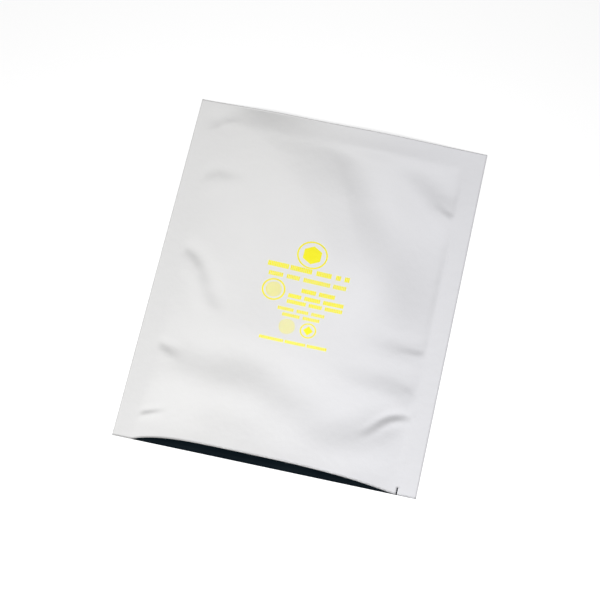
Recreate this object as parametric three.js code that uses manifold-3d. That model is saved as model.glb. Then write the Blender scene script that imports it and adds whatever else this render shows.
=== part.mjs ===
// Moisture barrier bag: two webs of metallised film, heat-sealed along both long sides and one short end.
// It lies on its back on a table, with the open mouth towards -Y, the sealed end towards +Y and +Z up.
// The front web is puffed up a little, creased, and lifted in a low lopsided arch at the mouth.

import * as THREE from 'three';
import * as BufferGeometryUtils from 'three/addons/utils/BufferGeometryUtils.js';
import Module from 'manifold-3d';

const wasm = await Module();
wasm.setup();

// Outline and film, in millimetres
const bagWidth = 203.2;
const bagLength = 254;
const filmThickness = 0.15;
const sideSeal = 12.7;
const endSeal = 12.7;

// The inside: how far the webs stand apart beside a seal, the least they do anywhere, and how far the front
// web puffs up away from the seals
const gapAtSeal = 0.3;
const leastGap = 0.22;
const puffHeight = 3;
const sidePuffReach = 26;
const endPuffReach = 45;

// The mouth: the front web's lift, how far into the bag it reaches on the left and on the right and how
// suddenly it ends there, the droop of the lip, and how far the lip is drawn back
const mouthLift = 3.6;
const leftLiftReach = 34;
const rightLiftReach = 125;
const leftLiftPower = 2;
const rightLiftPower = 3;
const lipDroop = 0.7;
const lipDroopReach = 9;
const lipDrawback = 4.8;
const liftRiseSharpness = 13;
const liftFallSharpness = 5;

// The short split between the front web and the right-hand seal, at the mouth
const splitWidth = 0.8;
const splitLength = 5;

// Cells of the front web's relief across and along the pouch, and in each seal
const cellsAcross = 44;
const cellsAlong = 54;
const cellsPerSeal = 2;

const pouchHalfWidth = bagWidth / 2 - sideSeal;
const pouchHalfLength = (bagLength - endSeal) / 2;
const pouchMiddle = -endSeal / 2;
const mouth = -bagLength / 2;
const endSealLine = bagLength / 2 - endSeal;
const sealThickness = 2 * filmThickness;
const tolerance = 1e-6;

// Routes run in shares of the pouch: across from -1 at the left seal to 1 at the right one, and along from
// -1 at the mouth to 1 at the sealed end. A ridge stands up along its route. A crease stands up on the left
// of its route and dips on the right of it, or the other way round where its height is negative. Both fade
// in and out over the given shares of their routes.
const ridges = [
  { route: [[-0.99, 0.8], [-0.7, 0.81], [-0.43, 0.73]], height: 0.7, width: 15, fadeIn: 1, fadeOut: 1 },
  { route: [[-0.56, -0.37], [-0.16, -0.41], [0.22, -0.46]], height: 0.8, width: 10, fadeIn: 1, fadeOut: 1 },
  { route: [[-0.5, -0.52], [-0.44, -0.2], [-0.38, 0.2], [-0.5, 0.7]],
    height: 3.2, width: 36, fadeIn: 0.2, fadeOut: 1 },
  { route: [[0, 1], [0.19, 0.87], [0.36, 0.74], [0.51, 0.59], [0.63, 0.42], [0.76, 0.22], [0.82, 0]],
    height: 1.4, width: 22, fadeIn: 0.2, fadeOut: 0.4 },
];
const creases = [
  { route: [[-0.3, 1], [0.03, 0.89], [0.19, 0.74], [0.33, 0.56], [0.47, 0.38], [0.58, 0.2], [0.64, 0]],
    height: 2.3, width: 18, fadeIn: 0.2, fadeOut: 0.3 },
  { route: [[-1, 0.15], [-0.85, 0.09], [-0.76, -0.01], [-0.7, -0.11], [-0.62, -0.2]],
    height: 0.75, width: 5, fadeIn: 0, fadeOut: 0.35 },
  { route: [[-1, 0.58], [-0.87, 0.65], [-0.63, 0.64]], height: 0.5, width: 5, fadeIn: 0, fadeOut: 1 },
  { route: [[-1, -0.43], [-0.79, -0.5], [-0.56, -0.55], [-0.31, -0.54],
      [-0.06, -0.59], [0.14, -0.65], [0.34, -0.73]],
    height: 1, width: 13, fadeIn: 0.2, fadeOut: 0.2 },
  { route: [[1, 0.67], [0.83, 0.755], [0.65, 0.86], [0.45, 0.96]],
    height: -1.3, width: 9, fadeIn: 0, fadeOut: 1 },
  { route: [[1, -0.17], [0.85, -0.18], [0.65, -0.18], [0.49, -0.12]],
    height: -0.35, width: 6, fadeIn: 0, fadeOut: 1 },
  { route: [[1, -0.43], [0.74, -0.4], [0.49, -0.4], [0.31, -0.32]],
    height: -0.3, width: 7, fadeIn: 0, fadeOut: 1 },
  { route: [[1, -0.57], [0.9, -0.57], [0.8, -0.61], [0.7, -0.69], [0.62, -0.73]],
    height: -0.6, width: 4, fadeIn: 0, fadeOut: 0.7 },
  { route: [[0.85, -0.64], [0.63, -0.73], [0.47, -0.78], [0.12, -0.82]],
    height: -0.65, width: 9, fadeIn: 0.6, fadeOut: 0.5 },
];
const bellSpacing = 3;

// How near the seals the ridges and the creases reach
const sideRidgeReach = 22;
const endRidgeReach = 24;
const creaseReach = 2.5;

// 1 far from an edge and 0 on it, rising over the given reach and leaving the edge level
function awayFrom(distance, reach) {
  return 1 - Math.exp(-((Math.max(distance, 0) / reach) ** 2));
}

// The share of the mouth's lift across the pouch: it rises steeply from the left seal and falls off gently
function archShare(x) {
  const share = THREE.MathUtils.clamp((x / pouchHalfWidth + 1) / 2, 0, 1);
  return (1 - (1 - share) ** liftRiseSharpness) * (1 - share ** liftFallSharpness);
}

function fade(share, fadeIn, fadeOut) {
  const rise = share < fadeIn ? Math.sin((Math.PI / 2) * (share / fadeIn)) : 1;
  const fall = 1 - share < fadeOut ? Math.cos((Math.PI / 2) * (1 - (1 - share) / fadeOut)) : 1;
  return rise * fall;
}

// A fold is laid as soft bells strung along its route, which add up to one smooth wave
function layBells({ route, height, width, fadeIn, fadeOut }) {
  const corners = route.map(([across, along]) => (
    new THREE.Vector2(across * pouchHalfWidth, pouchMiddle + along * pouchHalfLength)
  ));
  const curve = new THREE.SplineCurve(corners);
  const count = Math.round(curve.getLength() / bellSpacing);
  const share = curve.getLength() / count / (width * Math.sqrt(Math.PI));
  return curve.getSpacedPoints(count).map((at, i) => {
    const weight = height * share * fade(i / count, fadeIn, fadeOut);
    return { at, heading: curve.getTangentAt(i / count), width, weight };
  });
}

const ridgeBells = ridges.flatMap(layBells);
const creaseBells = creases.flatMap(layBells);

const ridgeProfile = (across) => Math.exp(-across * across);
const creaseProfile = (across) => across * Math.exp(0.5 - (across * across) / 2);

function foldHeight(bells, profile, x, y) {
  return bells.reduce((sum, { at, heading, width, weight }) => {
    const across = (heading.x * (y - at.y) - heading.y * (x - at.x)) / width;
    const along = (heading.x * (x - at.x) + heading.y * (y - at.y)) / width;
    return sum + weight * profile(across) * Math.exp(-along * along);
  }, 0);
}

function mouthHeight(x, y) {
  const share = THREE.MathUtils.clamp((x / pouchHalfWidth + 1) / 2, 0, 1);
  const reach = THREE.MathUtils.lerp(leftLiftReach, rightLiftReach, share);
  const power = THREE.MathUtils.lerp(leftLiftPower, rightLiftPower, share);
  const beyond = Math.max(y - mouth, 0);
  const lift = mouthLift * Math.exp(-((beyond / reach) ** power));
  return archShare(x) * (lift - lipDroop * Math.exp(-((beyond / lipDroopReach) ** 2)));
}

// How far the front web's inner face stands above the back web's at a point of the pouch. Where the folds
// would press the webs together, the gap closes smoothly towards its least value instead.
function innerGap(x, y) {
  const fromSide = pouchHalfWidth - Math.abs(x);
  const fromEnd = endSealLine - y;
  const puff = puffHeight * awayFrom(fromSide, sidePuffReach) * awayFrom(fromEnd, endPuffReach);
  const ridge = awayFrom(fromSide, sideRidgeReach) * awayFrom(fromEnd, endRidgeReach);
  const crease = awayFrom(fromSide, creaseReach) * awayFrom(fromEnd, creaseReach);
  const free = mouthHeight(x, y) + puff + ridge * foldHeight(ridgeBells, ridgeProfile, x, y)
    + crease * foldHeight(creaseBells, creaseProfile, x, y);
  return Math.max((free + Math.hypot(free, 2 * gapAtSeal)) / 2, leastGap);
}

// The front web's outer face above the table: flat on the seals, and one film above the gap over the pouch
function frontHeight(x, y) {
  const inPouch = Math.abs(x) < pouchHalfWidth + tolerance && y < endSealLine + tolerance;
  return inPouch ? sealThickness + innerGap(x, y) : sealThickness;
}

// Places that cut a stretch into even cells, its own start left out
function evenly(start, end, cells) {
  return Array.from({ length: cells }, (_, i) => start + ((end - start) * (i + 1)) / cells);
}

// Places from one edge to the other, with their own spacing in the seal beside either edge
function places(from, to, sealBefore, sealAfter, cells) {
  const start = from + sealBefore;
  const end = to - sealAfter;
  const before = sealBefore ? evenly(from, start, cellsPerSeal) : [];
  const after = sealAfter ? evenly(end, to, cellsPerSeal) : [];
  return [from, ...before, ...evenly(start, end, cells), ...after];
}

// A slab whose top follows a height function at the given places, with a flat foot at the given height
function reliefSlab(xs, ys, height, foot) {
  const slab = new THREE.BoxGeometry(1, 1, 1, xs.length - 1, ys.length - 1, 1);
  const position = slab.attributes.position;
  for (let i = 0; i < position.count; i++) {
    const x = xs[Math.round((position.getX(i) + 0.5) * (xs.length - 1))];
    const y = ys[Math.round((position.getY(i) + 0.5) * (ys.length - 1))];
    position.setXYZ(i, x, y, position.getZ(i) > 0 ? height(x, y) : foot);
  }
  return toSolid(slab);
}

function toSolid(geometry) {
  geometry.deleteAttribute('normal');
  geometry.deleteAttribute('uv');
  const merged = BufferGeometryUtils.mergeVertices(geometry, 1e-4);
  return new wasm.Manifold(new wasm.Mesh({
    numProp: 3,
    vertProperties: new Float32Array(merged.attributes.position.array),
    triVerts: new Uint32Array(merged.index.array),
  }));
}

function toGeometry(solid) {
  const mesh = solid.getMesh();
  const geometry = new THREE.BufferGeometry();
  geometry.setAttribute('position', new THREE.BufferAttribute(mesh.vertProperties, 3));
  geometry.setIndex(new THREE.BufferAttribute(mesh.triVerts, 1));
  return geometry;
}

// A block with its lowest corner and its size given
function block(x, y, z, width, length, height) {
  const box = new THREE.BoxGeometry(width, length, height);
  return toSolid(box.translate(x + width / 2, y + length / 2, z + height / 2));
}

// What is trimmed from the front web at the mouth: the strip in front of its drawn-back lip, and the split
// that runs up beside the right-hand seal
function lipTrim(height) {
  const beyond = mouth - lipDrawback - 1;
  const shape = new THREE.Shape();
  shape.moveTo(-pouchHalfWidth, beyond);
  shape.lineTo(pouchHalfWidth, beyond);
  shape.lineTo(pouchHalfWidth, mouth + splitLength);
  shape.lineTo(pouchHalfWidth - splitWidth, mouth + lipDrawback * archShare(pouchHalfWidth - splitWidth));
  for (let i = cellsAcross - 1; i >= 0; i--) {
    const x = THREE.MathUtils.lerp(-pouchHalfWidth, pouchHalfWidth, i / cellsAcross);
    shape.lineTo(x, mouth + lipDrawback * archShare(x));
  }
  const trim = new THREE.ExtrudeGeometry(shape, { depth: height, bevelEnabled: false });
  return toSolid(trim.translate(0, 0, filmThickness + gapAtSeal / 2));
}

function makeBag() {
  const xs = places(-bagWidth / 2, bagWidth / 2, sideSeal, sideSeal, cellsAcross);
  const ys = places(-bagLength / 2, bagLength / 2, 0, endSeal, cellsAlong);
  const tallest = sealThickness + gapAtSeal + 3 * (puffHeight + mouthLift);
  const outside = reliefSlab(xs, ys, frontHeight, -tallest)
    .intersect(block(-bagWidth, -bagLength, 0, 2 * bagWidth, 2 * bagLength, tallest));

  const insideXs = xs.filter((x) => Math.abs(x) < pouchHalfWidth + tolerance);
  const insideYs = ys.filter((y) => y < endSealLine + tolerance);
  insideYs.unshift(mouth - lipDrawback - 1);
  const inside = reliefSlab(insideXs, insideYs, (x, y) => filmThickness + innerGap(x, y), -tallest)
    .intersect(block(-bagWidth, -bagLength, filmThickness, 2 * bagWidth, 2 * bagLength, tallest));
  return outside.subtract(inside).subtract(lipTrim(tallest));
}

const metallisedFilm = new THREE.MeshStandardMaterial({ color: 0xdcdce1, roughness: 0.4, metalness: 0.85 });

const bag = new THREE.Group();
const barrierBag = new THREE.Mesh(toGeometry(makeBag()), metallisedFilm);
barrierBag.name = 'barrier_bag';
bag.add(barrierBag);

export default bag;
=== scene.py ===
# %% [markdown]
# # A moisture barrier bag
#
# The real thing is a flat pouch of metallised film. Two webs are heat-sealed together along both long
# sides and one short end, and the other end stays open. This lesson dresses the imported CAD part: the film
# is modelled again with fine folds, the marking is laid on it as ink, and both get their finishes.
# Lengths are in millimetres until a vertex is placed, because film and seals are measured that way.

# %% Load the frame
import math

import bmesh
import bpy
import numpy as np
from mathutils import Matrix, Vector


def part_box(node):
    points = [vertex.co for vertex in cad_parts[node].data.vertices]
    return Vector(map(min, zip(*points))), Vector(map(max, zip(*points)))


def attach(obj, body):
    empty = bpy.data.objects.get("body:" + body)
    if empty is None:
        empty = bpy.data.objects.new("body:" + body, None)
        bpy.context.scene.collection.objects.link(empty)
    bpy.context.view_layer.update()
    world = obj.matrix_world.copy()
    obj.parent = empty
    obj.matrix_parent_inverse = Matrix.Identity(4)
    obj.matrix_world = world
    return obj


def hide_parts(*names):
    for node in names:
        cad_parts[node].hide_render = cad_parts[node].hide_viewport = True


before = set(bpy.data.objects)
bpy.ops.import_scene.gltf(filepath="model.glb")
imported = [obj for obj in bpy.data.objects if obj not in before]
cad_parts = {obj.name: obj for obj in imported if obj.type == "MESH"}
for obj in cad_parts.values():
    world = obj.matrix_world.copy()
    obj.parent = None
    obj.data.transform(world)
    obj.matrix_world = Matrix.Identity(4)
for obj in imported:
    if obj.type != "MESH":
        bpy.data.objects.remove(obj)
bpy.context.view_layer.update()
MM = 0.001
film_low, film_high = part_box("barrier_bag")

# %% [markdown]
# ## The camera
#
# The picture looks down on the bag at about 22 degrees from straight overhead, from the mouth's end, with
# the bag turned a little clockwise. Turning the camera round the bag does the same as turning the bag, and
# leaves the CAD frame alone. A long lens a good way off keeps the sides nearly parallel.

# %% Camera
CAMERA_PLACE = Vector((112.8, -525.0, 1290.1)) * MM
CAMERA_TARGET = Vector((-1.9, -6.8, 0.0)) * MM
LENS_MM = 124.2
SENSOR_MM = 36

camera_data = bpy.data.cameras.new("camera")
camera_data.lens = LENS_MM
camera_data.sensor_width = SENSOR_MM
camera = bpy.data.objects.new("camera", camera_data)
camera.location = CAMERA_PLACE
camera.rotation_euler = (CAMERA_TARGET - CAMERA_PLACE).to_track_quat("-Z", "Y").to_euler()
bpy.context.scene.collection.objects.link(camera)
bpy.context.scene.camera = camera
bpy.context.scene.view_settings.view_transform = "Standard"
print("camera is", round((CAMERA_TARGET - CAMERA_PLACE).length, 3), "m off, lens", LENS_MM, "mm")

# %% [markdown]
# ## Node trees in a few words
#
# Every finish here is a small tree of nodes. One helper adds a node, sets its inputs and links whatever
# is already a socket, so that each finish reads as a short recipe. An input is named as in the editor, or
# by its place in the list where several share a name: `_0` is the first.

# %% A helper for node trees


def add_node(tree, kind, settings=None, **inputs):
    """Adds a node, sets its own settings, and sets or links each named input."""
    node = tree.nodes.new(kind)
    for name, value in (settings or {}).items():
        setattr(node, name, value)
    for name, value in inputs.items():
        key = int(name[1:]) if name[1:].isdigit() else name.replace("_", " ")
        socket = node.inputs[key]
        if isinstance(value, bpy.types.NodeSocket):
            tree.links.new(value, socket)
        else:
            socket.default_value = value
    return node


def empty_tree(owner):
    """Turns on nodes for a material or a world and clears its tree."""
    owner.use_nodes = True
    owner.node_tree.nodes.clear()
    return owner.node_tree


# %% [markdown]
# ## Light
#
# Metallised film is close to a mirror that has been breathed on, so what it shows is the room. This room
# is brightest part of the way down behind the bag, a little dimmer below that, and dark overhead and on the
# camera's side. That shades every fold: film that falls away from the camera catches the bright part, and
# film that rises away from it goes grey. The world holds the room as a gradient on how far a ray heads
# backwards, with a small share for how far it heads left. The camera itself sees plain white.

# %% World
WHITE = (1.0, 1.0, 1.0, 1.0)
ROOM_BRIGHT = 1.01
ROOM_FAR = 0.82
DARK_AT = -0.12
BRIGHTEST_AT = 0.47
FAR_AT = 0.8
LEFT_SHARE = 0.15

world = bpy.data.worlds.new("white_room")
bpy.context.scene.world = world
tree = empty_tree(world)
direction = add_node(tree, "ShaderNodeTexCoord")
parts = add_node(tree, "ShaderNodeSeparateXYZ", _0=direction.outputs["Generated"])
backwards = add_node(
    tree, "ShaderNodeMath", {"operation": "MULTIPLY_ADD"},
    _0=parts.outputs["X"], _1=-LEFT_SHARE, _2=parts.outputs["Y"],
)
rise = add_node(
    tree, "ShaderNodeMapRange", Value=backwards.outputs[0],
    From_Min=DARK_AT, From_Max=BRIGHTEST_AT, To_Min=0.0, To_Max=ROOM_BRIGHT,
)
fall = add_node(
    tree, "ShaderNodeMapRange", Value=backwards.outputs[0],
    From_Min=BRIGHTEST_AT, From_Max=FAR_AT, To_Min=ROOM_BRIGHT, To_Max=ROOM_FAR,
)
lowest = add_node(tree, "ShaderNodeMath", {"operation": "MINIMUM"}, _0=rise.outputs[0], _1=fall.outputs[0])
rays = add_node(tree, "ShaderNodeLightPath")
room = add_node(tree, "ShaderNodeBackground", Color=WHITE, Strength=lowest.outputs[0])
seen = add_node(tree, "ShaderNodeBackground", Color=WHITE, Strength=1.0)
mixed = add_node(
    tree, "ShaderNodeMixShader",
    _0=rays.outputs["Is Camera Ray"], _1=room.outputs[0], _2=seen.outputs[0],
)
add_node(tree, "ShaderNodeOutputWorld", Surface=mixed.outputs[0])

# %% [markdown]
# One soft lamp hangs before the mouth. It brightens the ink and the near end of the bag. The film would
# show it as a glare, so reflections leave it out.

# %% Lamp
LAMP_WATTS = 3.7
LAMP_SIZE = 0.3
LAMP_PLACE = Vector((0.02, -0.33, 0.45))
LAMP_TARGET = Vector((0, -0.1, 0))

lamp_data = bpy.data.lights.new("soft_lamp", "AREA")
lamp_data.shape = "DISK"
lamp_data.size = LAMP_SIZE
lamp_data.energy = LAMP_WATTS
lamp = bpy.data.objects.new("soft_lamp", lamp_data)
lamp.location = LAMP_PLACE
lamp.visible_glossy = False
lamp.rotation_euler = (LAMP_TARGET - LAMP_PLACE).to_track_quat("-Z", "Y").to_euler()
bpy.context.scene.collection.objects.link(lamp)

# %% [markdown]
# The floor has a matt part that takes the bag's shadow, and a glow on top that only the camera and
# reflections see. So it looks white without throwing more light on the bag.

# %% Floor
FLOOR_SIDE = 6.0
FLOOR_DROP = 0.02
FLOOR_PAINT = (0.4, 0.4, 0.4, 1.0)
FLOOR_GLOW = 0.66

floor_mesh = bpy.data.meshes.new("floor")
bm = bmesh.new()
bmesh.ops.create_grid(bm, x_segments=1, y_segments=1, size=FLOOR_SIDE / 2)
bm.to_mesh(floor_mesh)
bm.free()
floor = bpy.data.objects.new("floor", floor_mesh)
floor.location.z = -FLOOR_DROP * MM
bpy.context.scene.collection.objects.link(floor)

floor_paint = bpy.data.materials.new("white_floor")
tree = empty_tree(floor_paint)
rays = add_node(tree, "ShaderNodeLightPath")
looked_at = add_node(
    tree, "ShaderNodeMath", {"operation": "MAXIMUM"},
    _0=rays.outputs["Is Camera Ray"], _1=rays.outputs["Is Glossy Ray"],
)
glow = add_node(tree, "ShaderNodeMath", {"operation": "MULTIPLY"}, _0=looked_at.outputs[0], _1=FLOOR_GLOW)
matt = add_node(tree, "ShaderNodeBsdfDiffuse", Color=FLOOR_PAINT)
shine = add_node(tree, "ShaderNodeEmission", Color=WHITE, Strength=glow.outputs[0])
both = add_node(tree, "ShaderNodeAddShader", _0=matt.outputs[0], _1=shine.outputs[0])
add_node(tree, "ShaderNodeOutputMaterial", Surface=both.outputs[0])
floor_mesh.materials.append(floor_paint)
print("floor", FLOOR_SIDE, "m wide")

# %% [markdown]
# ## The lie of the film
#
# The folds are what one sees first. Film of this kind doesn't stretch, so it lies in long shallow waves,
# with sharp creases that start at a seal and die out towards the middle. Each fold is a route across the
# pouch with a height and a width. Soft bells strung along the route add up to a smooth wave, which has no
# seam where the route bends. A ridge stands up on its route. A crease climbs from one side to the other,
# and so shows as one dark line with a light edge. The routes are in shares of the pouch, so they keep
# their places if the bag's size changes.

# %% Sizes
# The film and its seals.
FILM = 0.15
SIDE_SEAL = 12.7
END_SEAL = 12.7
GAP_AT_SEAL = 0.3
SEAL_GAP_REACH = 6

# How high the front web stands, and how far from a seal it and its folds have their full height.
PUFF_HEIGHT = 3.0
SIDE_PUFF_REACH = 26
END_PUFF_REACH = 55
SIDE_RIDGE_REACH = 22
END_RIDGE_REACH = 24
SIDE_CREASE_REACH = 2.5
END_CREASE_REACH = 7

# The lift of the mouth, which reaches further into the bag on the right, and its drooping lip.
MOUTH_LIFT = 3.6
LIFT_RISE_SHARPNESS = 13
LIFT_FALL_SHARPNESS = 5
LEFT_LIFT_REACH = 42
RIGHT_LIFT_REACH = 125
LEFT_LIFT_POWER = 2
RIGHT_LIFT_POWER = 3
LIP_DROOP = 0.55
LIP_DROOP_REACH = 9
LIP_DRAWBACK = 4.8
LIP_DRAWBACK_REACH = 15

# The broad curl of the sealed end off the table.
CURL_HEIGHT = 3.0
CURL_START = 72
CURL_END = 127
CURL_CENTRE = 25
CURL_WIDTH = 55
CURL_CREASE_FADE = 20

# The tighter curl of its left corner, which starts later where the film bays in.
LEFT_CURL_HEIGHT = 2.2
LEFT_CURL_START = 98
LEFT_CURL_CENTRE = -50
LEFT_CURL_WIDTH = 32
LEFT_CURL_POWER = 1.6
LEFT_CURL_BAY = 8
LEFT_CURL_BAY_CENTRE = -62
LEFT_CURL_BAY_WIDTH = 16

half_width = (film_high[0] - film_low[0]) / 2 / MM
half_length = (film_high[1] - film_low[1]) / 2 / MM
mouth = -half_length
pouch_half_width = half_width - SIDE_SEAL
end_seal_line = half_length - END_SEAL
pouch_half_length = (end_seal_line - mouth) / 2
pouch_middle = (end_seal_line + mouth) / 2
print("bag", round(2 * half_width, 1), "x", round(2 * half_length, 1), "mm")

# %% Folds
RIDGES = [
    # Short swells near the top left and over the valley.
    {"route": [(-0.99, 0.8), (-0.7, 0.81), (-0.43, 0.73)], "height": 0.7, "width": 15},
    {"route": [(-0.56, -0.37), (-0.25, -0.4), (0.05, -0.44)], "height": 0.8, "width": 10},
    # The long swell down the left half.
    {"route": [(-0.5, -0.52), (-0.44, -0.2), (-0.38, 0.2), (-0.5, 0.7)],
     "height": 3.2, "width": 36, "fade_in": 0.2},
    # The crest behind the diagonal crease.
    {"route": [(0.0, 1.0), (0.19, 0.87), (0.36, 0.74), (0.51, 0.59), (0.62, 0.42), (0.68, 0.3)],
     "height": 1.4, "width": 22, "fade_in": 0.2, "fade_out": 0.7},
]
CREASES = [
    # The diagonal from the sealed end towards the right, and the soft band before it.
    {"route": [(-0.3, 1.0), (0.03, 0.89), (0.19, 0.74), (0.33, 0.56), (0.45, 0.38), (0.54, 0.2), (0.58, 0.0)],
     "height": 2.3, "width": 19, "fade_in": 0.45, "fade_out": 0.3},
    {"route": [(0.15, 0.75), (0.27, 0.57), (0.36, 0.38), (0.42, 0.05)],
     "height": 1.3, "width": 24, "fade_in": 0.4, "fade_out": 0.5},
    # A hook and a short frown at the left seal.
    {"route": [(-1.0, 0.15), (-0.85, 0.09), (-0.76, -0.01), (-0.7, -0.11), (-0.62, -0.2)],
     "height": 0.65, "width": 5, "fade_out": 0.35},
    {"route": [(-1.0, 0.58), (-0.87, 0.65), (-0.63, 0.64)], "height": 0.5, "width": 5},
    # The valley across the lower half, the low wave below it, and the puckers where they meet the seal.
    {"route": [(-1.0, -0.43), (-0.79, -0.5), (-0.56, -0.55), (-0.31, -0.54), (-0.06, -0.59),
               (0.14, -0.65), (0.34, -0.73)],
     "height": 0.8, "width": 13, "fade_in": 0.08, "fade_out": 0.2},
    {"route": [(-0.7, -0.76), (-0.3, -0.8), (0.15, -0.84)],
     "height": 0.55, "width": 14, "fade_in": 0.4, "fade_out": 0.4},
    {"route": [(-1.0, -0.44), (-0.9, -0.46), (-0.79, -0.49)], "height": 0.45, "width": 3.5},
    {"route": [(-1.0, -0.85), (-0.87, -0.82), (-0.79, -0.8)], "height": 0.4, "width": 2},
    # A broad tilt of the lower right.
    {"route": [(0.95, -0.35), (0.6, -0.38), (0.3, -0.45)],
     "height": -1.3, "width": 42, "fade_in": 0, "fade_out": 1},
    # The crease out of the top of the right seal, broad with a sharp start.
    {"route": [(1.0, 0.67), (0.83, 0.755), (0.65, 0.86), (0.45, 0.96)],
     "height": -0.9, "width": 10, "fade_out": 0.8},
    {"route": [(1.0, 0.67), (0.92, 0.69), (0.83, 0.73)], "height": -0.3, "width": 2.5},
    # Two lines lower on the right seal, the first with a sharp start too.
    {"route": [(1.0, -0.17), (0.85, -0.18), (0.65, -0.18), (0.49, -0.12)], "height": -0.25, "width": 6},
    {"route": [(1.0, -0.17), (0.9, -0.18), (0.79, -0.18)], "height": -0.12, "width": 2},
    {"route": [(1.0, -0.43), (0.74, -0.4), (0.49, -0.4), (0.31, -0.32)], "height": -0.3, "width": 7},
    # The sharp bend near the lower right corner, the wave it runs into and the small hook above it.
    {"route": [(1.0, -0.57), (0.9, -0.57), (0.8, -0.61), (0.7, -0.69), (0.62, -0.73)],
     "height": -0.4, "width": 2.5, "fade_out": 0.7},
    {"route": [(1.0, -0.57), (0.85, -0.63), (0.63, -0.72), (0.4, -0.78), (0.12, -0.82)],
     "height": -0.6, "width": 12, "fade_in": 0.3, "fade_out": 0.5},
    {"route": [(0.83, -0.39), (0.94, -0.41), (0.99, -0.47), (0.98, -0.55)],
     "height": 0.12, "width": 2, "fade_in": 1, "fade_out": 0},
]
# The crease at the top left corner, which lifts the film with the curl.
CURL_CREASES = [
    {"route": [(-0.98, 0.94), (-0.9, 0.98), (-0.78, 1.02)], "height": 0.5, "width": 6},
]
BELL_SPACING = 2.0
LEAST_BELL_REACH = 2.5
SPLINE_STEPS = 20


# %% Heights of the front web


def spline(points):
    """Points evenly spread along a smooth curve through the given ones, and the step between them."""
    points = np.asarray(points, float)
    spans = len(points) - 1
    out = []
    for share in np.linspace(0, spans, SPLINE_STEPS * spans + 1):
        k = min(int(share), spans - 1)
        t = share - k
        before, a, b = points[max(k - 1, 0)], points[k], points[k + 1]
        after = points[min(k + 2, spans)]
        pull_a, pull_b = (b - before) / 2, (after - a) / 2
        out.append(
            (2 * a - 2 * b + pull_a + pull_b) * t**3
            + (-3 * a + 3 * b - 2 * pull_a - pull_b) * t**2
            + pull_a * t + a
        )
    out = np.array(out)
    run = np.concatenate([[0], np.cumsum(np.linalg.norm(np.diff(out, axis=0), axis=1))])
    steps = max(round(run[-1] / BELL_SPACING), 4)
    even = np.linspace(0, run[-1], steps + 1)
    spread = np.stack([np.interp(even, run, out[:, 0]), np.interp(even, run, out[:, 1])], axis=1)
    return spread, run[-1] / steps


def fold_height(fold, profile, x, y):
    """One fold's height at the points x, y: bells strung along its route, shaped across it by the profile.

    The fades are the shares of the route over which the fold grows at its start and dies at its end.
    """
    bells, step = spline(
        [(u * pouch_half_width, pouch_middle + v * pouch_half_length) for u, v in fold["route"]]
    )
    headings = np.gradient(bells, axis=0)
    headings /= np.linalg.norm(headings, axis=1)[:, None]
    share = np.linspace(0, 1, len(bells))
    fade_in, fade_out = fold.get("fade_in", 0), fold.get("fade_out", 1)
    strength = np.ones(len(bells))
    if fade_in:
        strength *= np.sin(np.pi / 2 * np.clip(share / fade_in, 0, 1))
    if fade_out:
        strength *= np.cos(np.pi / 2 * np.clip((share - 1 + fade_out) / fade_out, 0, 1))
    reach = max(fold["width"], LEAST_BELL_REACH)
    total = np.zeros_like(x)
    for (px, py), (tx, ty), weight in zip(bells, headings, strength):
        across = (-(x - px) * ty + (y - py) * tx) / fold["width"]
        along = ((x - px) * tx + (y - py) * ty) / reach
        total += weight * profile(across) * np.exp(-along * along)
    return fold["height"] * total * step / (reach * math.sqrt(math.pi))


def ridge_profile(across):
    """A hump, 1 high on the route."""
    return np.exp(-across * across)


def crease_profile(across):
    """A dip on the route's right and a rise on its left, 1 deep and 1 high one width away from it."""
    return across * np.exp(0.5 - across * across / 2)


def away_from(distance, reach):
    """1 far from an edge and 0 on it, leaving the edge level."""
    return 1 - np.exp(-((np.maximum(distance, 0) / reach) ** 2))


def arch_share(x):
    """The share of the mouth's lift across the pouch: steep from the left seal, gentle to the right one."""
    share = np.clip((x / pouch_half_width + 1) / 2, 0, 1)
    return (1 - (1 - share) ** LIFT_RISE_SHARPNESS) * (1 - share**LIFT_FALL_SHARPNESS)


def web_gap(x, y):
    """How far the front web's inner face stands above the back web's, in millimetres."""
    from_side = pouch_half_width - np.abs(x)
    from_end = end_seal_line - y
    share = np.clip((x / pouch_half_width + 1) / 2, 0, 1)
    lift_reach = LEFT_LIFT_REACH + (RIGHT_LIFT_REACH - LEFT_LIFT_REACH) * share
    lift_power = LEFT_LIFT_POWER + (RIGHT_LIFT_POWER - LEFT_LIFT_POWER) * share
    beyond = np.maximum(y - mouth, 0)
    lift = MOUTH_LIFT * np.exp(-((beyond / lift_reach) ** lift_power))
    lift = arch_share(x) * (lift - LIP_DROOP * np.exp(-((beyond / LIP_DROOP_REACH) ** 2)))
    ridges = np.zeros_like(x)
    for fold in RIDGES:
        ridges += fold_height({"fade_in": 1, **fold}, ridge_profile, x, y)
    creases = np.zeros_like(x)
    for fold in CREASES:
        creases += fold_height(fold, crease_profile, x, y)
    puff = away_from(from_side, SIDE_PUFF_REACH) * away_from(from_end, END_PUFF_REACH)
    inside = away_from(from_side, SIDE_RIDGE_REACH) * away_from(from_end, END_RIDGE_REACH)
    near = away_from(from_side, SIDE_CREASE_REACH) * away_from(from_end, END_CREASE_REACH)
    gap = lift + PUFF_HEIGHT * puff + inside * ridges + near * creases
    # A soft least value keeps the webs apart, and it goes to nothing at the seals.
    at_seal = 1 - away_from(np.minimum(from_side, from_end), SEAL_GAP_REACH)
    gap = (gap + np.hypot(gap, 2 * GAP_AT_SEAL)) / 2 - GAP_AT_SEAL * at_seal
    return np.where((from_side > 0) & (from_end > 0), gap, 0.0)


def bell(distance, width):
    """1 at no distance, falling away smoothly on both sides."""
    return np.exp(-((distance / width) ** 2))


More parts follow.
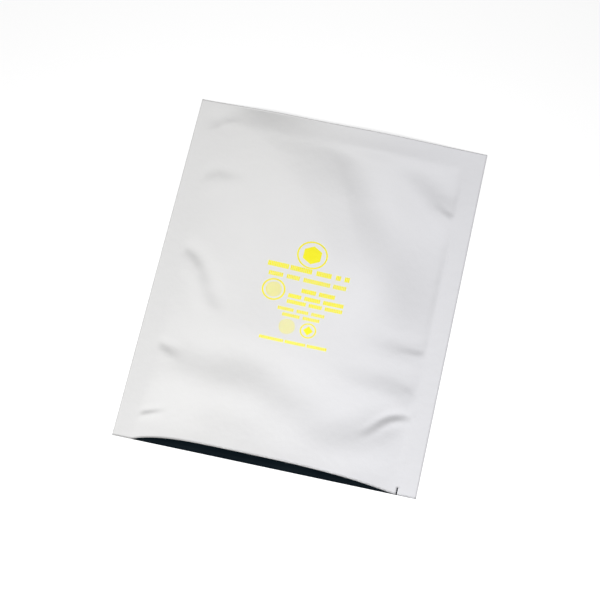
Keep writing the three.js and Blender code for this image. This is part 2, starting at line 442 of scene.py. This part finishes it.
def seal_curl(x, y):
    """How far the whole bag curls off the table at its sealed end, in millimetres."""
    share = np.clip((y - CURL_START) / (CURL_END - CURL_START), 0, 1)
    broad = CURL_HEIGHT * bell(x - CURL_CENTRE, CURL_WIDTH) * share * share * (3 - 2 * share)
    start = LEFT_CURL_START + LEFT_CURL_BAY * bell(x - LEFT_CURL_BAY_CENTRE, LEFT_CURL_BAY_WIDTH)
    share = np.clip((y - start) / (half_length - start), 0, 1)
    left = LEFT_CURL_HEIGHT * bell(x - LEFT_CURL_CENTRE, LEFT_CURL_WIDTH) * share**LEFT_CURL_POWER
    creases = sum(fold_height(fold, crease_profile, x, y) for fold in CURL_CREASES)
    beyond_start = np.clip((y - CURL_START) / CURL_CREASE_FADE, 0, 1)
    return broad + left + np.maximum(creases, 0) * beyond_start


# %% [markdown]
# ## The webs
#
# A grid is the natural start for a sheet: its columns and rows are moved so that some of them stand
# exactly on the seals' edges, and the height of each vertex follows. A Solidify modifier then gives the
# film its thickness and puts another finish on the inside, painted near black as shade. The front web's
# lip is drawn back where it lifts, because film that arches up covers less ground, and a few faces are
# cut out for the short split beside the right-hand seal.

# %% Front web
SPLIT_WIDTH = 0.8
SPLIT_LENGTH = 5
CELL = 1.3


def places(stops, cell):
    """Places from the first stop to the last, about one cell apart, with one exactly on every stop."""
    out = [stops[0]]
    for a, b in zip(stops, stops[1:]):
        count = max(1, round((b - a) / cell))
        out += [a + (b - a) * i / count for i in range(1, count + 1)]
    return out


def web_mesh(columns, rows):
    """A flat grid with its columns and rows of vertices at the given places."""
    bm = bmesh.new()
    bmesh.ops.create_grid(bm, x_segments=len(columns) - 1, y_segments=len(rows) - 1, size=0.5)
    for vertex in bm.verts:
        column = round((vertex.co.x + 0.5) * (len(columns) - 1))
        row = round((vertex.co.y + 0.5) * (len(rows) - 1))
        vertex.co = (columns[column], rows[row], 0)
    return bm


def lay(bm, height):
    """Sets every vertex to the height that the function gives at its place, then scales to metres."""
    flat = np.array([vertex.co[:2] for vertex in bm.verts])
    heights = height(flat[:, 0], flat[:, 1])
    for vertex, z in zip(bm.verts, heights):
        vertex.co.z = z
    bmesh.ops.scale(bm, vec=(MM, MM, MM), verts=bm.verts)


def piece_from(bm, name, *finishes):
    """Makes the mesh an object at the origin, smooth shaded, with its finishes."""
    mesh = bpy.data.meshes.new(name)
    for face in bm.faces:
        face.smooth = True
    bm.to_mesh(mesh)
    bm.free()
    piece = bpy.data.objects.new(name, mesh)
    for finish in finishes:
        mesh.materials.append(finish)
    bpy.context.scene.collection.objects.link(piece)
    return piece


def thicken(piece, shell, rim):
    """Gives the film its thickness, behind its faces; shell and rim say how many finishes on those take."""
    film = piece.modifiers.new("film_thickness", "SOLIDIFY")
    film.thickness = FILM * MM
    film.offset = -1
    film.material_offset = shell
    film.material_offset_rim = rim


silver_film = bpy.data.materials.new("silver_film")
inner_film = bpy.data.materials.new("inner_film")
yellow_ink = bpy.data.materials.new("yellow_ink")

columns = places(
    [-half_width, -pouch_half_width, pouch_half_width - SPLIT_WIDTH, pouch_half_width, half_width], CELL
)
rows = places([mouth, mouth + SPLIT_LENGTH, end_seal_line, half_length], CELL)
bm = web_mesh(columns, rows)
split = [
    face for face in bm.faces
    if pouch_half_width - SPLIT_WIDTH < face.calc_center_median().x < pouch_half_width
    and face.calc_center_median().y < mouth + SPLIT_LENGTH
]
bmesh.ops.delete(bm, geom=split, context="FACES")
for vertex in bm.verts:
    near_mouth = float(bell(vertex.co.y - mouth, LIP_DRAWBACK_REACH))
    vertex.co.y += LIP_DRAWBACK * float(arch_share(np.float64(vertex.co.x))) * near_mouth
lay(bm, lambda x, y: 2 * FILM + web_gap(x, y) + seal_curl(x, y))
front_web = piece_from(bm, "front_web", silver_film, inner_film)
thicken(front_web, 1, 0)
print("front web:", len(front_web.data.polygons), "faces")

# %% Back web
BACK_COLUMN_CELL = 4
BACK_ROW_CELL = 3

columns = places([-half_width, half_width], BACK_COLUMN_CELL)
rows = places([mouth, end_seal_line, half_length], BACK_ROW_CELL)
bm = web_mesh(columns, rows)
lay(bm, lambda x, y: FILM + seal_curl(x, y))
back_web = piece_from(bm, "back_web", inner_film, silver_film)
thicken(back_web, 1, 1)
print("back web:", len(back_web.data.polygons), "faces")

# %% [markdown]
# ## Silver film
#
# The outside is a bright metal layer under clear plastic. It is a satin metal: fairly rough, a touch
# cooler and a little darker on the right, where the darkening is painted shade for the right half, with
# faint streaks along the web from rolling and a soft unevenness of a few millimetres that the mesh is too
# coarse to carry.

# %% Finish of the silver film
# The cool silver is also a little darker than the warm one: painted shade that darkens the right half.
WARM_SILVER = (0.80, 0.797, 0.793, 1.0)
COOL_SHADED_SILVER = (0.785, 0.785, 0.812, 1.0)
LEAST_ROUGH = 0.29
MOST_ROUGH = 0.32

tree = empty_tree(silver_film)
place = add_node(tree, "ShaderNodeTexCoord").outputs["Object"]
parts = add_node(tree, "ShaderNodeSeparateXYZ", _0=place)
# Painted shade: the film's colour goes cooler and darker from left to right across the bag.
cool_shade_share = add_node(
    tree, "ShaderNodeMapRange", {"interpolation_type": "SMOOTHSTEP"},
    Value=parts.outputs["X"], From_Min=-0.06, From_Max=0.09, To_Min=0.0, To_Max=1.0,
)
cloud = add_node(tree, "ShaderNodeTexNoise", Vector=place, Scale=45.0, Detail=3.0, Roughness=0.5)
tone = add_node(
    tree, "ShaderNodeMix", {"data_type": "RGBA"},
    _0=cool_shade_share.outputs["Result"], _6=WARM_SILVER, _7=COOL_SHADED_SILVER,
)
cloudy = add_node(
    tree, "ShaderNodeMapRange", Value=cloud.outputs["Fac"],
    From_Min=0.35, From_Max=0.65, To_Min=0.99, To_Max=1.01,
)
shaded = add_node(
    tree, "ShaderNodeMix", {"data_type": "RGBA", "blend_type": "MULTIPLY"},
    _0=1.0, _6=tone.outputs[2], _7=cloudy.outputs["Result"],
)
haze = add_node(
    tree, "ShaderNodeMapRange", Value=cloud.outputs["Fac"],
    From_Min=0.3, From_Max=0.7, To_Min=LEAST_ROUGH, To_Max=MOST_ROUGH,
)
rolled = add_node(tree, "ShaderNodeMapping", Vector=place, Scale=(900.0, 14.0, 1.0))
streaks = add_node(tree, "ShaderNodeTexNoise", Vector=rolled.outputs[0], Scale=1.0, Detail=2.0)
ripple = add_node(tree, "ShaderNodeTexNoise", Vector=place, Scale=170.0, Detail=2.0)
streak_bump = add_node(
    tree, "ShaderNodeBump", Strength=0.12, Distance=0.00006, Height=streaks.outputs["Fac"]
)
ripple_bump = add_node(
    tree, "ShaderNodeBump", Strength=0.35, Distance=0.00025, Height=ripple.outputs["Fac"],
    Normal=streak_bump.outputs[0],
)
film_shader = add_node(
    tree, "ShaderNodeBsdfPrincipled", Base_Color=shaded.outputs[2], Metallic=0.6,
    Roughness=haze.outputs["Result"], Normal=ripple_bump.outputs[0],
)
add_node(tree, "ShaderNodeOutputMaterial", Surface=film_shader.outputs[0])

# %% Finish of the inside
# The inside is painted near black with a faint blue: painted shade that stands for the dark inside of the
# mouth.
INNER_SHADE_DARK = (0.002, 0.004, 0.006, 1.0)
INNER_SHADE_LIGHT = (0.005, 0.009, 0.012, 1.0)

tree = empty_tree(inner_film)
place = add_node(tree, "ShaderNodeTexCoord").outputs["Object"]
cloud = add_node(tree, "ShaderNodeTexNoise", Vector=place, Scale=60.0, Detail=2.0)
tone = add_node(
    tree, "ShaderNodeMix", {"data_type": "RGBA"},
    _0=cloud.outputs["Fac"], _6=INNER_SHADE_DARK, _7=INNER_SHADE_LIGHT,
)
inner_shader = add_node(
    tree, "ShaderNodeBsdfPrincipled", Base_Color=tone.outputs[2], Roughness=0.5, Specular_IOR_Level=0.2
)
add_node(tree, "ShaderNodeOutputMaterial", Surface=inner_shader.outputs[0])

# %% [markdown]
# ## The yellow marking
#
# The marking is printed on the film in one yellow ink. It is plain: rings round a hexagon, a square and a
# disc, a pale disc alone, and rows of even ticks. The discs are fine rings, so that film shows between them
# and they look paler from afar, and the ticks do the same. A print could be a texture, but thin pieces that
# follow the film keep crisp edges in the exported model too. Each shape is made flat, cut fine enough to
# bend, and laid a few hundredths of a millimetre above the film.

# %% Ink shapes
INK_LIFT = 0.03
INK_CELL = 1.5
RING_CELL = 1.0
TICK_PITCH = 1.2


def ink_block(bm, x, y, width, height):
    """A flat rectangle with its middle at x, y."""
    across, along = max(1, round(width / INK_CELL)), max(1, round(height / INK_CELL))
    made = bmesh.ops.create_grid(bm, x_segments=across, y_segments=along, size=0.5)
    bmesh.ops.scale(bm, vec=(width, height, 1), verts=made["verts"])
    bmesh.ops.translate(bm, vec=(x, y, 0), verts=made["verts"])


def ink_ring(bm, x, y, inner, outer):
    """A flat ring: a short line of points spun once round its middle."""
    line = [bm.verts.new((x + r, y, 0)) for r in np.linspace(inner, outer, 3)]
    edges = [bm.edges.new(pair) for pair in zip(line, line[1:])]
    bmesh.ops.spin(
        bm, geom=line + edges, cent=(x, y, 0), axis=(0, 0, 1), dvec=(0, 0, 0), angle=2 * math.pi,
        steps=max(12, round(outer * 2 * math.pi / RING_CELL)), use_merge=True, use_duplicate=False,
    )


def ink_disc(bm, x, y, radius, cover):
    """A disc of fine rings that covers the given share of the film."""
    count = round(radius / TICK_PITCH)
    step = radius / count
    for k in range(count):
        ink_ring(bm, x, y, (k + 1 - cover) * step, (k + 1) * step)


def ink_polygon(bm, x, y, radius, sides):
    """A flat polygon of equal sides, cut fine enough to bend."""
    made = bmesh.ops.create_circle(bm, cap_ends=True, cap_tris=True, segments=sides, radius=radius)
    bmesh.ops.translate(bm, vec=(x, y, 0), verts=made["verts"])
    edges = {edge for vertex in made["verts"] for edge in vertex.link_edges}
    bmesh.ops.subdivide_edges(bm, edges=list(edges), cuts=5, use_grid_fill=True)


def ink_row(bm, y, height, cover, bars):
    """A row of bars, each of even ticks that cover the given share of it."""
    for start, end in bars:
        count = round((end - start) / TICK_PITCH)
        step = (end - start) / count
        for k in range(count):
            ink_block(bm, start + (k + 0.5) * step, y, step * cover, height)


# %% Ink layout
ROWS = [
    {"y": 13.6, "height": 3.7, "cover": 0.88,
     "bars": [(-28.5, -14), (-13, 2), (5, 15.5), (18.5, 22), (24.5, 28)]},
    {"y": 6.6, "height": 3.2, "cover": 0.82, "bars": [(-26.5, -16.5), (-14, -5), (-2.5, 16), (18, 27)]},
    {"y": -1.6, "height": 3.2, "cover": 0.88, "bars": [(-2, 8), (10, 21)]},
    {"y": -6.9, "height": 3.0, "cover": 0.88, "bars": [(-10, -1), (1, 12), (14, 28)]},
    {"y": -11.2, "height": 2.8, "cover": 0.85, "bars": [(-10, 3), (5, 14), (16, 28)]},
    {"y": -17.1, "height": 2.4, "cover": 0.8, "bars": [(-15, -4), (-2, 6), (8, 17)]},
    {"y": -21.1, "height": 2.4, "cover": 0.8, "bars": [(-11, 1), (3, 14.5)]},
    {"y": -40.2, "height": 2.2, "cover": 0.82, "bars": [(-22.5, -6), (-5, 9), (10, 23.5)]},
]
TOP_RING = (-0.5, 26.2)
LEFT_RING = (-20.5, -4.9)
PALE_DISC = (-6.0, -29.4)
RIGHT_RING = (8.5, -29.4)

bm = bmesh.new()
for row in ROWS:
    ink_row(bm, **row)
ink_ring(bm, *TOP_RING, inner=9.4, outer=10.5)
ink_polygon(bm, *TOP_RING, radius=7.0, sides=6)
ink_ring(bm, *LEFT_RING, inner=6.9, outer=8.0)
ink_disc(bm, *LEFT_RING, radius=5.2, cover=0.5)
ink_disc(bm, *PALE_DISC, radius=5.2, cover=0.4)
ink_ring(bm, *RIGHT_RING, inner=4.6, outer=5.5)
ink_polygon(bm, *RIGHT_RING, radius=3.4, sides=4)
lay(bm, lambda x, y: 2 * FILM + web_gap(x, y) + INK_LIFT)
bm.normal_update()
bmesh.ops.reverse_faces(bm, faces=[face for face in bm.faces if face.normal.z < 0])
yellow_print = piece_from(bm, "yellow_print", yellow_ink)
print("print:", len(yellow_print.data.polygons), "faces")

# %% Finish of the ink
INK_DEEP = (0.78, 0.72, 0.01, 1.0)
INK_LIGHT = (0.83, 0.78, 0.03, 1.0)

tree = empty_tree(yellow_ink)
place = add_node(tree, "ShaderNodeTexCoord").outputs["Object"]
cloud = add_node(tree, "ShaderNodeTexNoise", Vector=place, Scale=300.0, Detail=2.0)
tone = add_node(
    tree, "ShaderNodeMix", {"data_type": "RGBA"},
    _0=cloud.outputs["Fac"], _6=INK_DEEP, _7=INK_LIGHT,
)
ink_shader = add_node(
    tree, "ShaderNodeBsdfPrincipled", Base_Color=tone.outputs[2], Roughness=0.5, Specular_IOR_Level=0.25
)
add_node(tree, "ShaderNodeOutputMaterial", Surface=ink_shader.outputs[0])

# %% Put the pieces on the frame
for piece, slot in ((front_web, "metallised_film"), (back_web, "inner_film"), (yellow_print, "yellow_ink")):
    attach(piece, "root")
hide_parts("barrier_bag")
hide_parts("barrier_bag")
